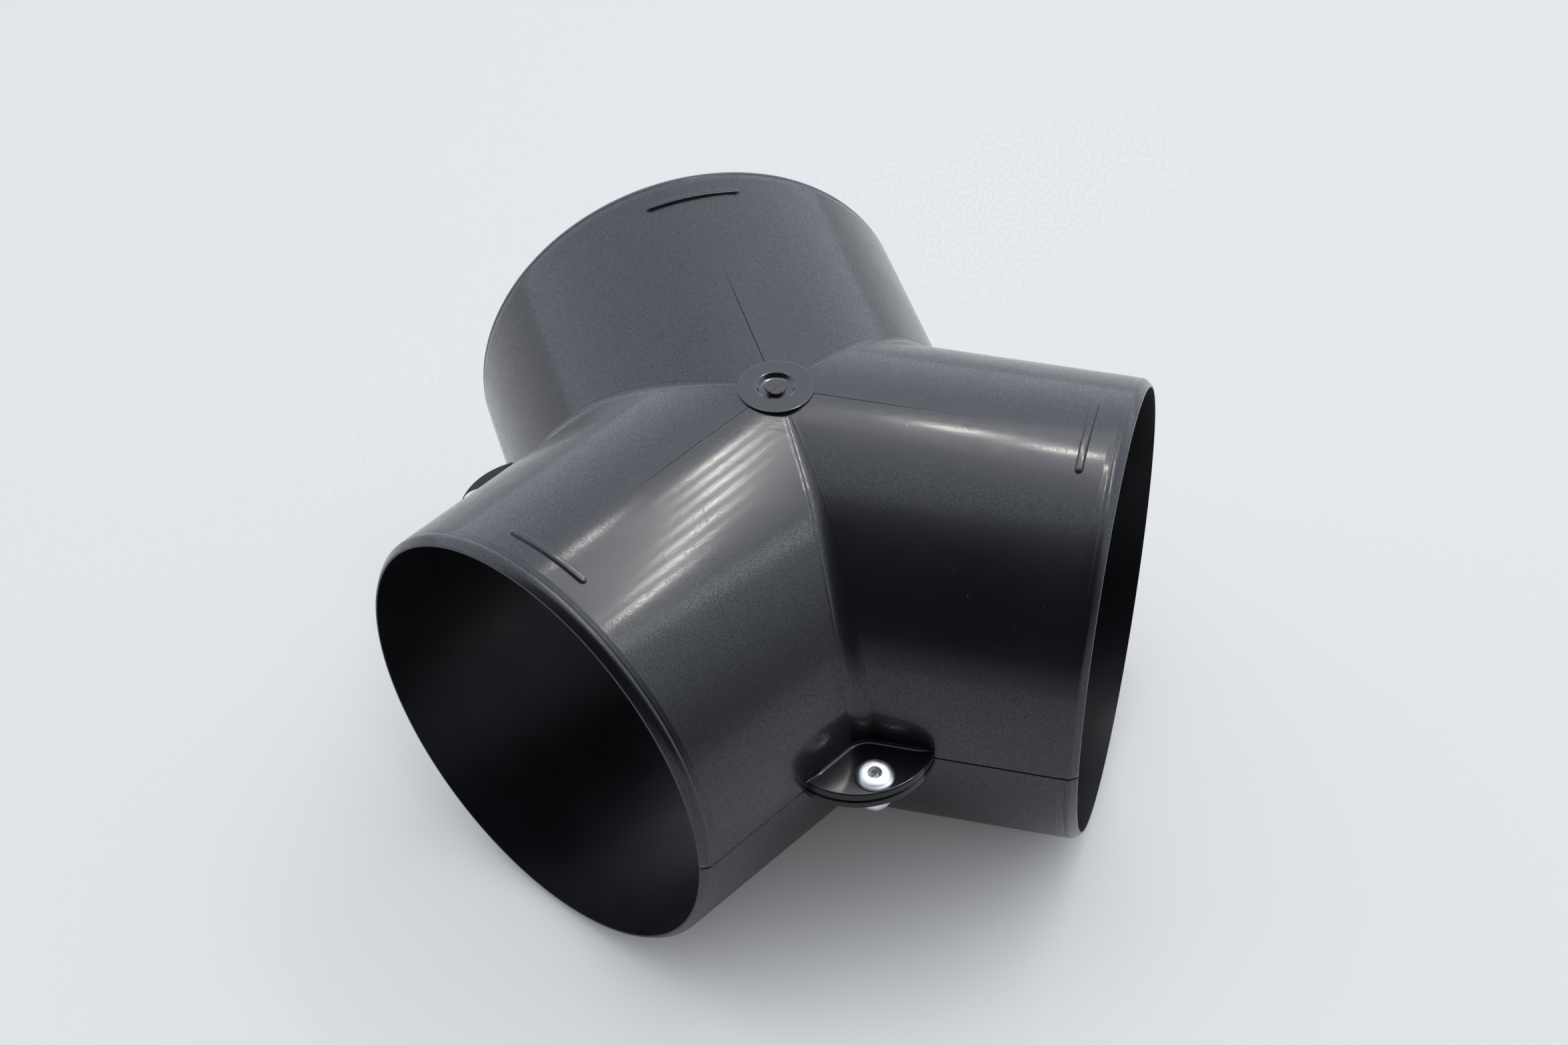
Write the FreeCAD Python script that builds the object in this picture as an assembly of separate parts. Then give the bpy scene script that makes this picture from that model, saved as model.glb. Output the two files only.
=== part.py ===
import FreeCAD
import Part
import math
import os

# Sizes in millimetres. The origin is the crossing of the three branch axes,
# Z is up and the parting plane of the two half shells is z = 0.

# Branches
tube_radius = 45.0
wall = 1.6
reach = 67.0
crotch_blend = 5.0
lip_length = 1.4
lip_edge = 0.45

# Riveting ears in the crotches, one plate on each half shell
ear_thickness = 1.8
ear_radius = 15.1
ear_past_rivet = 4.2

# Raised rib on top of each branch
rib_from_mouth = 8.0
rib_width = 1.7
rib_crest = 0.8
rib_height = 0.55
rib_half_angle = 12.4

# Gate pad at the centre, with its dimple and the cut sprue
pad_radius = 7.2
pad_height = 0.4
dimple_radius = 3.8
dimple_floor = 3.1
dimple_depth = 0.7
sprue_radius = 1.95
sprue_below_pad = 0.12

# Blind rivets, placed from the corner where two branches meet on the parting plane
rivet_from_corner = 9.44
shank_radius = 2.0
hole_clearance = 0.05
head_radius = 3.8
head_shoulder = 3.05
head_shoulder_height = 0.75
head_height = 1.15
head_mouth = 1.6
mandrel_radius = 1.15
mandrel_clearance = 0.05
mandrel_below_head = 0.7
blind_radius = 3.45
blind_seat = 2.9
blind_bulge = 1.5
blind_length = 3.4
blind_end = 2.2
mandrel_tip = 1.8
mandrel_tip_height = 1.2

branch_angles = (90.0, 210.0, 330.0)
ear_angles = (30.0, 150.0, 270.0)
inner_radius = tube_radius - wall
half_between = (branch_angles[1] - branch_angles[0]) / 2
rivet_from_centre = tube_radius / math.sin(math.radians(half_between)) + rivet_from_corner
Z = FreeCAD.Vector(0, 0, 1)
ORIGIN = FreeCAD.Vector(0, 0, 0)


def spoke(angle, distance, height=0.0):
    """The point at a distance from the Z axis in the direction of an angle in degrees."""
    turn = math.radians(angle)
    return FreeCAD.Vector(distance * math.cos(turn), distance * math.sin(turn), height)


def turned(profile):
    """The solid that a closed profile of (radius, height) corners makes around the Z axis."""
    corners = [FreeCAD.Vector(r, 0, h) for r, h in profile]
    wire = Part.makePolygon(corners + corners[:1])
    return Part.Face(wire).revolve(ORIGIN, Z, 360)


def along(shape, angle):
    """A shape made along Z, laid down along a branch."""
    laid = shape.copy()
    laid.rotate(ORIGIN, FreeCAD.Vector(0, 1, 0), 90)
    laid.rotate(ORIGIN, Z, angle)
    return laid


def half_trunk(radius, length, taper, edge):
    """The upper half of three plain branches that meet at the origin, as one solid."""
    profile = [(0, 0), (radius, 0), (radius, length - taper), (radius - edge, length), (0, length)]
    branch = turned(profile)
    branches = [along(branch, angle) for angle in branch_angles]
    size = 2 * length
    above = Part.makeBox(2 * size, 2 * size, size, FreeCAD.Vector(-size, -size, 0))
    return branches[0].fuse(branches[1:]).common(above).removeSplitter()


def is_crease(edge):
    """Does this edge run down a crotch, from the gate pad to the parting plane?"""
    middle = edge.CenterOfMass
    angle = math.degrees(math.atan2(middle.y, middle.x)) % 360
    in_crotch = min(abs(angle - ear) for ear in ear_angles) < 1
    return in_crotch and edge.BoundBox.ZLength > tube_radius / 2


def blended(trunk):
    """A trunk with rounded crotches. The blends fade out at the top, so they stop under the gate pad."""
    under_pad = Part.makeCylinder(pad_radius - wall, tube_radius + wall)
    open_trunk = trunk.cut(under_pad)
    return open_trunk.makeFillet(crotch_blend, [edge for edge in open_trunk.Edges if is_crease(edge)])


def ears():
    """The plates in the three crotches, each a disc whose inner part is inside the branches."""
    centre = rivet_from_centre + ear_past_rivet - ear_radius
    return [Part.makeCylinder(ear_radius, ear_thickness, spoke(angle, centre)) for angle in ear_angles]


def rib(angle):
    """A low tapered bar across the top of a branch, rooted in the wall."""
    middle = reach - rib_from_mouth
    root = tube_radius - wall / 2
    crest = tube_radius + rib_height
    corners = [
        FreeCAD.Vector(root, 0, middle - rib_width / 2),
        FreeCAD.Vector(tube_radius, 0, middle - rib_width / 2),
        FreeCAD.Vector(crest, 0, middle - rib_crest / 2),
        FreeCAD.Vector(crest, 0, middle + rib_crest / 2),
        FreeCAD.Vector(tube_radius, 0, middle + rib_width / 2),
        FreeCAD.Vector(root, 0, middle + rib_width / 2),
    ]
    section = Part.Face(Part.makePolygon(corners + corners[:1]))
    bar = section.revolve(ORIGIN, Z, 2 * rib_half_angle)
    bar.rotate(ORIGIN, Z, 180 - rib_half_angle)
    return along(bar, angle)


def dimple():
    """The ring sunk in the gate pad around the cut sprue."""
    top = tube_radius + pad_height
    floor = top - dimple_depth
    ring = turned([(0, floor), (dimple_floor, floor), (dimple_radius, top), (0, top)])
    sprue = Part.makeCylinder(sprue_radius, dimple_depth - sprue_below_pad, FreeCAD.Vector(0, 0, floor))
    return ring.cut(sprue)


def half_shell():
    """One moulding: outside, ears, ribs and gate pad, with the duct taken out of it."""
    outside = blended(half_trunk(tube_radius, reach, lip_length, wall - lip_edge))
    pad = Part.makeCylinder(pad_radius, tube_radius + pad_height)
    ribs = [rib(angle) for angle in branch_angles]
    body = outside.fuse([pad] + ears() + ribs)
    duct = half_trunk(inner_radius, reach + wall, 0, 0)
    hole_radius = shank_radius + hole_clearance
    holes = [Part.makeCylinder(hole_radius, 2 * ear_thickness, spoke(angle, rivet_from_centre))
             for angle in ear_angles]
    return body.cut([duct, dimple()] + holes).removeSplitter()


def rivet_body():
    """A set blind rivet around the Z axis, with its domed head on the upper ears."""
    bore = mandrel_radius + mandrel_clearance
    seat = ear_thickness
    crown = seat + head_height
    foot = -ear_thickness
    tail = foot - blind_length
    return turned([
        (head_mouth, crown),
        (head_shoulder, seat + head_shoulder_height),
        (head_radius, seat),
        (shank_radius, seat),
        (shank_radius, foot),
        (blind_seat, foot),
        (blind_radius, foot - blind_bulge),
        (blind_end, tail),
        (bore, tail),
        (bore, crown - mandrel_below_head),
    ])


def rivet_mandrel():
    """The stub of the mandrel that stays in the rivet, with its head under the blind end."""
    tail = -ear_thickness - blind_length
    top = ear_thickness + head_height - mandrel_below_head
    stub = Part.makeCylinder(mandrel_radius, top - tail, FreeCAD.Vector(0, 0, tail))
    tip = Part.makeCylinder(mandrel_tip, mandrel_tip_height, FreeCAD.Vector(0, 0, tail - mandrel_tip_height))
    return stub.fuse(tip).removeSplitter()


def at_ears(shape):
    """A copy of a shape at each ear, as one compound of separate solids."""
    copies = []
    for angle in ear_angles:
        copy = shape.copy()
        copy.translate(spoke(angle, rivet_from_centre))
        copies.append(copy)
    return Part.makeCompound(copies)


os.makedirs("parts", exist_ok=True)
upper = half_shell()
lower = upper.copy()
lower.rotate(ORIGIN, FreeCAD.Vector(0, 1, 0), 180)
upper.exportStep("parts/upper_shell.step")
lower.exportStep("parts/lower_shell.step")
at_ears(rivet_body()).exportStep("parts/rivet_body.step")
at_ears(rivet_mandrel()).exportStep("parts/rivet_mandrel.step")
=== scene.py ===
"""Duct Y branch: two black moulded half shells, joined by blind rivets through ears in the crotches."""

import logging
import math
from collections.abc import Sequence
from dataclasses import dataclass, field
from enum import Enum
from typing import ClassVar

import bmesh
import bpy
from bpy.types import (
    ID, AreaLight, GeometryNodeTree, Material, Mesh, Node, NodeSocket, NodeTree, Object, World, bpy_prop_collection,
)
from mathutils import Euler, Matrix, Vector


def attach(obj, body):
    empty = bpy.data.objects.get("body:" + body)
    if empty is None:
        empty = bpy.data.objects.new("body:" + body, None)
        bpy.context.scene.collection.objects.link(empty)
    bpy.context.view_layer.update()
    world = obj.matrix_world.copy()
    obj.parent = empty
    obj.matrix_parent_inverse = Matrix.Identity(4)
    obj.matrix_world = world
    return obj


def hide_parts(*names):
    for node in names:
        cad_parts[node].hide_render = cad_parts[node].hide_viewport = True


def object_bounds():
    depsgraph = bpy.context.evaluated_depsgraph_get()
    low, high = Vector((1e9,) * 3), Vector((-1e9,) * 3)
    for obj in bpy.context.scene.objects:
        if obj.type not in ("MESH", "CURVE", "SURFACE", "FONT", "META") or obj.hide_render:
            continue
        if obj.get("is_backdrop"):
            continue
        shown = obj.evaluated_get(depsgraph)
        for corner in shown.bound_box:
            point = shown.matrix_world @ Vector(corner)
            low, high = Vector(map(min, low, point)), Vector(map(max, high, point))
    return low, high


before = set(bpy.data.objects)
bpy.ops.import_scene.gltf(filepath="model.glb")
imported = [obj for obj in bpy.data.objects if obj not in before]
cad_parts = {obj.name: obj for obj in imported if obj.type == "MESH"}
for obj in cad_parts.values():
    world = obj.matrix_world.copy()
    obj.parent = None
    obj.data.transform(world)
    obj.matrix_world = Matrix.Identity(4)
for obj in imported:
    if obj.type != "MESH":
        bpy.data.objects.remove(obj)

Span = tuple[float, float]
Triple = tuple[float, float, float]
Table = tuple[Span, ...]

LOG = logging.getLogger("duct_y_branch")
MM = 0.001
SURFACE_MAP = "surface"
SHEEN = "sheen"
BRANCHES = 3
QUARTER = math.radians(90.0)
FIRST_BRANCH = QUARTER
HALF_BETWEEN = math.radians(60.0)
RISE = (0.0, 1.0)
FALL = (1.0, 0.0)
SMALLEST_EDGE = 1e-7


class Slot(Enum):
    """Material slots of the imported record."""

    SHELL = "shell_plastic"
    RIVET = "rivet_aluminium"
    MANDREL = "mandrel_steel"


class Sheen(Enum):
    """Roughness that the mould leaves on a surface."""

    PLATE = 0.1
    CLEAR = 0.14
    SATIN = 0.34
    DULL = 0.4
    TORN = 0.55


class Side(Enum):
    """Which half of the branch a moulding is."""

    UPPER = "upper"
    LOWER = "lower"


def smooth_step(low: float, high: float, value: float) -> float:
    """Eases a value from 0 at one end of a span to 1 at the other.

    Args:
        low: Value that gives 0.
        high: Value that gives 1.
        value: Value to place in the span.

    Returns:
        The eased share, from 0 to 1.
    """
    share = min(1.0, max(0.0, (value - low) / (high - low)))
    return share * share * (3.0 - 2.0 * share)


class NodeBench:
    """Adds and joins nodes in one node tree."""

    def __init__(self, tree: NodeTree) -> None:
        """Keeps the tree that the nodes go into."""
        self.tree = tree

    @classmethod
    def cleared(cls, owner: Material | AreaLight | World) -> "NodeBench":
        """Switches on the nodes of a material, a lamp or a world and takes out the default ones.

        Args:
            owner: What the nodes belong to.

        Returns:
            The bench of its tree.
        """
        owner.use_nodes = True
        owner.node_tree.nodes.clear()
        return cls(owner.node_tree)

    def add(self, kind: str, inputs: dict[str, object] | None = None, **settings: object) -> Node:
        """Adds a node, sets its options, and joins or fills its inputs.

        Args:
            kind: Type name of the node.
            inputs: Socket identifiers, each with an output to join or a value to set.
            **settings: Options of the node by name.

        Returns:
            The new node.
        """
        node = self.tree.nodes.new(kind)
        for name, value in settings.items():
            setattr(node, name, value)
        for identifier, value in (inputs or {}).items():
            socket = next(s for s in node.inputs if s.identifier == identifier)
            if isinstance(value, NodeSocket):
                self.tree.links.new(value, socket)
            else:
                socket.default_value = value
        return node

    def math(self, operation: str, *values: object) -> NodeSocket:
        """Adds a math node.

        Args:
            operation: Name of the operation.
            *values: Up to three outputs or numbers.

        Returns:
            The node's result.
        """
        names = ("Value", "Value_001", "Value_002")
        return self.add("ShaderNodeMath", dict(zip(names, values)), operation=operation).outputs[0]

    def blend(self, mask: NodeSocket, first: Sequence[float], second: Sequence[float]) -> NodeSocket:
        """Mixes two colours by a mask.

        Args:
            mask: 0 for the first colour and 1 for the second.
            first: First colour.
            second: Second colour.

        Returns:
            The mixed colour.
        """
        inputs = {"Factor_Float": mask, "A_Color": (*first, 1.0), "B_Color": (*second, 1.0)}
        node = self.add("ShaderNodeMix", inputs, data_type="RGBA")
        return next(s for s in node.outputs if s.identifier == "Result_Color")

    def spread(self, value: object, source: Span, target: tuple[object, object]) -> NodeSocket:
        """Maps one span of values to another, and holds it at the ends.

        Args:
            value: Output to map.
            source: Span that the value comes from.
            target: Numbers or outputs that the span goes to.

        Returns:
            The mapped value.
        """
        inputs = {
            "Value": value, "From Min": source[0], "From Max": source[1],
            "To Min": target[0], "To Max": target[1],
        }
        return self.add("ShaderNodeMapRange", inputs, interpolation_type="SMOOTHSTEP").outputs[0]


class NodeGroup:
    """A node group with named inputs and one output, built on first use."""

    name: ClassVar[str]
    kind: ClassVar[str] = "ShaderNodeTree"
    inputs: ClassVar[dict[str, str]]
    output: ClassVar[tuple[str, str]]

    def draw(self, bench: NodeBench, given: bpy_prop_collection) -> NodeSocket:
        """Adds the nodes between the group's inputs and its output.

        Args:
            bench: Bench of the group's tree.
            given: The group's inputs by name.

        Returns:
            The socket that the group puts out.
        """
        raise NotImplementedError

    def tree(self) -> NodeTree:
        """Gives the group's tree, and builds it the first time.

        Returns:
            The tree.
        """
        tree = bpy.data.node_groups.get(self.name)
        if tree is None:
            tree = bpy.data.node_groups.new(self.name, self.kind)
            for name, kind in self.inputs.items():
                tree.interface.new_socket(name, in_out="INPUT", socket_type=f"NodeSocket{kind}")
            name, kind = self.output
            tree.interface.new_socket(name, in_out="OUTPUT", socket_type=f"NodeSocket{kind}")
            bench = NodeBench(tree)
            result = self.draw(bench, bench.add("NodeGroupInput").outputs)
            tree.links.new(result, bench.add("NodeGroupOutput").inputs[0])
        return tree


@dataclass(frozen=True)
class RoundPattern(NodeGroup):
    """Nodes that repeat one unit evenly around the Z axis and weld the copies."""

    copies: int = BRANCHES
    first_angle: float = FIRST_BRANCH
    weld: float = 0.002 * MM
    name = "round_pattern"
    kind = "GeometryNodeTree"
    inputs = {"Unit": "Geometry", "Copies": "Int", "First Angle": "Float", "Weld": "Float", "Finish": "Material"}
    output = ("Ring", "Geometry")

    def draw(self, bench: NodeBench, given: bpy_prop_collection) -> NodeSocket:
        """Adds the nodes that turn, weld and dress the copies.

        Args:
            bench: Bench of the group's tree.
            given: The group's inputs by name.

        Returns:
            The ring of copies.
        """
        points = bench.add("GeometryNodePoints", {"Count": given["Copies"]})
        step = bench.math("DIVIDE", math.tau, given["Copies"])
        index = bench.add("GeometryNodeInputIndex").outputs[0]
        angle = bench.math("MULTIPLY_ADD", index, step, given["First Angle"])
        turn = bench.add("FunctionNodeAxisAngleToRotation", {"Axis": (0.0, 0.0, 1.0), "Angle": angle})
        copies = bench.add("GeometryNodeInstanceOnPoints", {
            "Points": points.outputs[0], "Instance": given["Unit"], "Rotation": turn.outputs[0],
        })
        real = bench.add("GeometryNodeRealizeInstances", {"Geometry": copies.outputs[0]})
        welded = bench.add("GeometryNodeMergeByDistance", {
            "Geometry": real.outputs[0], "Distance": given["Weld"],
        })
        return bench.add("GeometryNodeSetMaterial", {
            "Geometry": welded.outputs[0], "Material": given["Finish"],
        }).outputs[0]

    def repeat(self, unit: Mesh, finish: Material) -> Mesh:
        """Repeats a unit around the axis.

        Args:
            unit: Mesh of one unit, made at angle 0.
            finish: Material of the copies.

        Returns:
            One plain mesh of all the copies.
        """
        values = {"Copies": self.copies, "First Angle": self.first_angle, "Weld": self.weld, "Finish": finish}
        return grow(unit, self.tree(), values)


def add_object(name: str, data: ID) -> Object:
    """Adds an object to the scene.

    Args:
        name: Name of the object.
        data: Its mesh, lamp or camera.

    Returns:
        The object.
    """
    item = bpy.data.objects.new(name, data)
    bpy.context.scene.collection.objects.link(item)
    return item


def grow(mesh: Mesh, tree: GeometryNodeTree, values: dict[str, object]) -> Mesh:
    """Runs a node tree over a mesh.

    Args:
        mesh: Mesh that goes in.
        tree: Node tree to run.
        values: Values of the tree's inputs by name.

    Returns:
        The result as a plain mesh.
    """
    carrier = add_object(tree.name, mesh)
    modifier = carrier.modifiers.new(tree.name, "NODES")
    modifier.node_group = tree
    for item in tree.interface.items_tree:
        if item.in_out == "INPUT" and item.name in values:
            modifier[item.identifier] = values[item.name]
    ready = carrier.evaluated_get(bpy.context.evaluated_depsgraph_get())
    result = bpy.data.meshes.new_from_object(ready)
    bpy.data.objects.remove(carrier)
    return result


@dataclass
class Draft:
    """Points, faces, surface coordinates and sheen of a mesh in the making, in millimetres."""

    points: list[Vector] = field(default_factory=list)
    flat: list[Span] = field(default_factory=list)
    sheen: list[float] = field(default_factory=list)
    faces: list[tuple[int, ...]] = field(default_factory=list)

    def point(self, place: Sequence[float], flat: Span | None = None, sheen: Sheen = Sheen.CLEAR) -> int:
        """Adds a point.

        Args:
            place: Place of the point.
            flat: Distances along and around the surface, or none to take X and Y.
            sheen: How the mould was left there.

        Returns:
            The point's number.
        """
        self.points.append(Vector(place))
        self.flat.append(flat or (place[0], place[1]))
        self.sheen.append(sheen.value)
        return len(self.points) - 1

    def bridge(self, first: Sequence[int], second: Sequence[int], closed: bool = True) -> None:
        """Joins two rows of points by quads.

        Args:
            first: Numbers of the first row.
            second: Numbers of the second row.
            closed: Whether the rows run round.
        """
        count = len(first)
        for k in range(count if closed else count - 1):
            m = (k + 1) % count
            self.faces.append((first[k], first[m], second[m], second[k]))

    def enclose(self, rows: Sequence[Sequence[int]], flipped: bool = False) -> None:
        """Joins rows of points that run round, one after the other, and closes both ends.

        Args:
            rows: Rows of point numbers.
            flipped: Whether the faces at the ends run the other way round.
        """
        for first, second in zip(rows, rows[1:]):
            self.bridge(first, second)
        step = -1 if flipped else 1
        self.faces.append(tuple(rows[0][::step]))
        self.faces.append(tuple(rows[-1][::-step]))

    def turned(self, profile: Sequence[Span], sides: int, centre: float) -> list[list[int]]:
        """Turns an open profile around an upright axis and closes its ends.

        Args:
            profile: Radius and height of each ring, from one end to the other.
            sides: Number of sides.
            centre: Distance of the axis from the Z axis, along X.

        Returns:
            The rings of point numbers.
        """
        rings = []
        for radius, height in profile:
            ring = []
            for k in range(sides):
                turn = math.tau * k / sides
                ring.append(self.point((centre + radius * math.cos(turn), radius * math.sin(turn), height)))
            rings.append(ring)
        self.enclose(rings)
        return rings

    def mesh(self, name: str) -> Mesh:
        """Makes the mesh, in metres, with its surface map and its sheen.

        Args:
            name: Name of the mesh.

        Returns:
            The mesh.
        """
        mesh = bpy.data.meshes.new(name)
        mesh.from_pydata([p * MM for p in self.points], [], self.faces)
        layer = mesh.uv_layers.new(name=SURFACE_MAP)
        for loop in mesh.loops:
            along, around = self.flat[loop.vertex_index]
            layer.data[loop.index].uv = (along * MM, around * MM)
        mesh.attributes.new(SHEEN, "FLOAT", "POINT").data.foreach_set("value", self.sheen)
        return mesh


def join_meshes(name: str, meshes: Sequence[Mesh]) -> Mesh:
    """Puts several meshes into one, each as it lies.

    Args:
        name: Name of the new mesh.
        meshes: Meshes to put together.

    Returns:
        The new mesh.
    """
    work = bmesh.new()
    for mesh in meshes:
        work.from_mesh(mesh)
    joined = bpy.data.meshes.new(name)
    work.to_mesh(joined)
    work.free()
    return joined


def finish_mesh(mesh: Mesh, finish: Material, sharp_angle: float) -> None:
    """Turns the faces outwards, smooths them up to an angle and sets the material.

    Args:
        mesh: Mesh to finish.
        finish: Material of the whole mesh.
        sharp_angle: Edges sharper than this many degrees stay sharp.
    """
    work = bmesh.new()
    work.from_mesh(mesh)
    bmesh.ops.dissolve_degenerate(work, edges=work.edges, dist=SMALLEST_EDGE)
    bmesh.ops.recalc_face_normals(work, faces=work.faces)
    for face in work.faces:
        face.smooth = True
        face.material_index = 0
    work.to_mesh(mesh)
    work.free()
    mesh.materials.clear()
    mesh.materials.append(finish)
    mesh.set_sharp_from_angle(angle=math.radians(sharp_angle))


def place_piece(name: str, mesh: Mesh, slot: Slot, node: str) -> Object:
    """Adds a finished piece to the scene in place of its CAD node.

    Args:
        name: Name of the piece.
        mesh: Mesh of the piece, in its place.
        slot: Slot of the record that its finish belongs to.
        node: CAD node that it stands for.

    Returns:
        The piece.
    """
    piece = add_object(name, mesh)
    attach(piece, "root")
    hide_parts(node)
    LOG.info("%s: %d faces, %s", name, len(mesh.polygons), slot.value)
    return piece


@dataclass(frozen=True)
class BranchRule:
    """Outer wall of one branch along X: a round tube that a rolling ball blends into its neighbours."""

    radius: float = 45.0
    blend: float = 5.0
    reach: float = 67.0

    def ball(self, turn: float) -> Vector:
        """Gives the centre of the rolling ball.

        Args:
            turn: Angle from the top of the branch.

        Returns:
            The centre, at the height where the ball touches both branches.
        """
        span = self.radius + self.blend
        side = span * math.sin(turn)
        return Vector((abs(side) / math.tan(HALF_BETWEEN), side, span * math.cos(turn)))

    def on_blend(self, turn: float, share: float) -> tuple[Vector, Vector]:
        """Gives a point of the blend.

        Args:
            turn: Angle from the top of the branch.
            share: 0 in the middle of the crotch and 1 on the tube.

        Returns:
            The point and the wall's outward direction there.
        """
        tube = Vector((0.0, math.sin(turn), math.cos(turn)))
        cut = Vector((math.sin(HALF_BETWEEN), -math.copysign(math.cos(HALF_BETWEEN), turn), 0.0))
        middle = (tube - cut * tube.dot(cut)).normalized()
        way = middle.lerp(tube, share).normalized()
        return self.ball(turn) - self.blend * way, way

    def on_tube(self, turn: float, along: float) -> tuple[Vector, Vector]:
        """Gives a point of the tube.

        Args:
            turn: Angle from the top of the branch.
            along: Distance from the middle of the part.

        Returns:
            The point and the wall's outward direction there.
        """
        way = Vector((0.0, math.sin(turn), math.cos(turn)))
        return Vector((along, 0.0, 0.0)) + self.radius * way, way


class RibBar(NodeGroup):
    """Nodes that sweep a flat-topped bar with rounded ends across the top of a branch."""

    name = "rib_bar"
    kind = "GeometryNodeTree"
    inputs = {
        "Unit": "Geometry", "Path Radius": "Float", "Half Angle": "Float", "From Middle": "Float", "Width": "Float",
        "Crest": "Float", "Height": "Float", "Edge": "Float", "Finish": "Material",
    }
    output = ("Rib", "Geometry")
    path_points = 161
    edge_points = 5
    end_scale = 0.03

    def draw(self, bench: NodeBench, given: bpy_prop_collection) -> NodeSocket:
        """Adds the nodes that sweep, mark and dress the bar.

        Args:
            bench: Bench of the group's tree.
            given: The group's inputs by name.

        Returns:
            The rib.
        """
        start = bench.math("SUBTRACT", QUARTER, given["Half Angle"])
        sweep = bench.math("MULTIPLY", given["Half Angle"], 2.0)
        arc = bench.add("GeometryNodeCurveArc", {
            "Resolution": self.path_points, "Radius": given["Path Radius"], "Start Angle": start,
            "Sweep Angle": sweep,
        }, mode="RADIUS")
        shift = bench.add("ShaderNodeCombineXYZ", {"X": given["From Middle"]})
        upright = bench.add("GeometryNodeTransform", {
            "Geometry": arc.outputs[0], "Translation": shift.outputs[0], "Rotation": Euler((QUARTER, 0.0, QUARTER)),
        })
        factor = bench.add("GeometryNodeSplineParameter").outputs["Factor"]
        from_end = bench.math("MINIMUM", factor, bench.math("SUBTRACT", 1.0, factor))
        length = bench.math("MULTIPLY", sweep, given["Path Radius"])
        half_width = bench.math("MULTIPLY", given["Width"], 0.5)
        gone = bench.math("DIVIDE", bench.math("MULTIPLY", from_end, length), half_width)
        short = bench.math("MAXIMUM", bench.math("SUBTRACT", 1.0, gone), 0.0)
        size = bench.math("SQRT", bench.math("SUBTRACT", 1.0, bench.math("MULTIPLY", short, short)))
        section = bench.add("GeometryNodeCurvePrimitiveQuadrilateral", {
            "Bottom Width": given["Width"], "Top Width": given["Crest"], "Height": given["Height"], "Offset": 0.0,
        }, mode="TRAPEZOID")
        eased = bench.add("GeometryNodeFilletCurve", {
            "Curve": section.outputs[0], "Radius": given["Edge"], "Count": self.edge_points, "Limit Radius": True,
        }, mode="POLY")
        turned = bench.add("GeometryNodeTransform", {
            "Geometry": eased.outputs[0], "Rotation": Euler((0.0, 0.0, math.pi)),
        })
        bar = bench.add("GeometryNodeCurveToMesh", {
            "Curve": upright.outputs[0], "Profile Curve": turned.outputs[0],
            "Scale": bench.math("MAXIMUM", size, self.end_scale), "Fill Caps": True,
        })
        marked = bench.add("GeometryNodeStoreNamedAttribute", {
            "Geometry": bar.outputs[0], "Name": SHEEN, "Value": Sheen.SATIN.value,
        }, data_type="FLOAT", domain="POINT")
        real = bench.add("GeometryNodeRealizeInstances", {"Geometry": marked.outputs[0]})
        return bench.add("GeometryNodeSetMaterial", {
            "Geometry": real.outputs[0], "Material": given["Finish"],
        }).outputs[0]


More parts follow.
